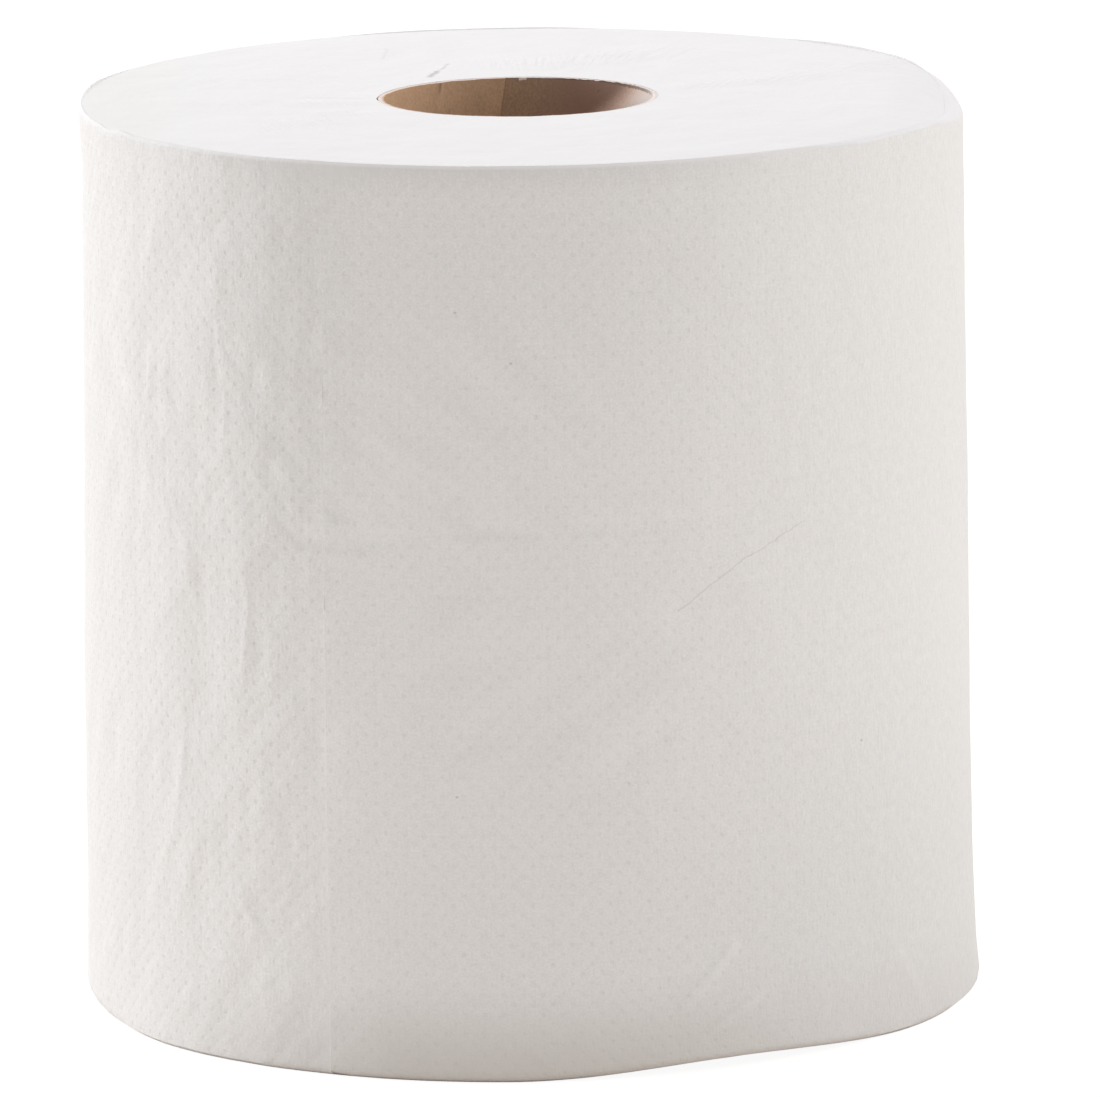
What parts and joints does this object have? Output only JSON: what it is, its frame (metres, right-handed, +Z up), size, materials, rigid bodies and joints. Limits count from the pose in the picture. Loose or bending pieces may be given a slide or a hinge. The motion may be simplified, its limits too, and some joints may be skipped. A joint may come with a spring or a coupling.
{
  "type": "paper wiper roll",
  "caption": "Roll of white embossed wiping paper wound on a cardboard core, with an open bore right through and a flat end to stand on.",
  "frame": {"origin": "on the core's axis, in the plane of the base the roll stands on", "axes": "+Z up along the core; the tail of the web lies towards -Y and 26 degrees to the -X side"},
  "size_m": [0.1946, 0.1944, 0.1956],
  "materials": {
    "paper": "matte",
    "cardboard": "matte"
  },
  "bodies": {
    "root": {"wound_paper": "paper", "core_tube": "cardboard"}
  },
  "joints": []
}
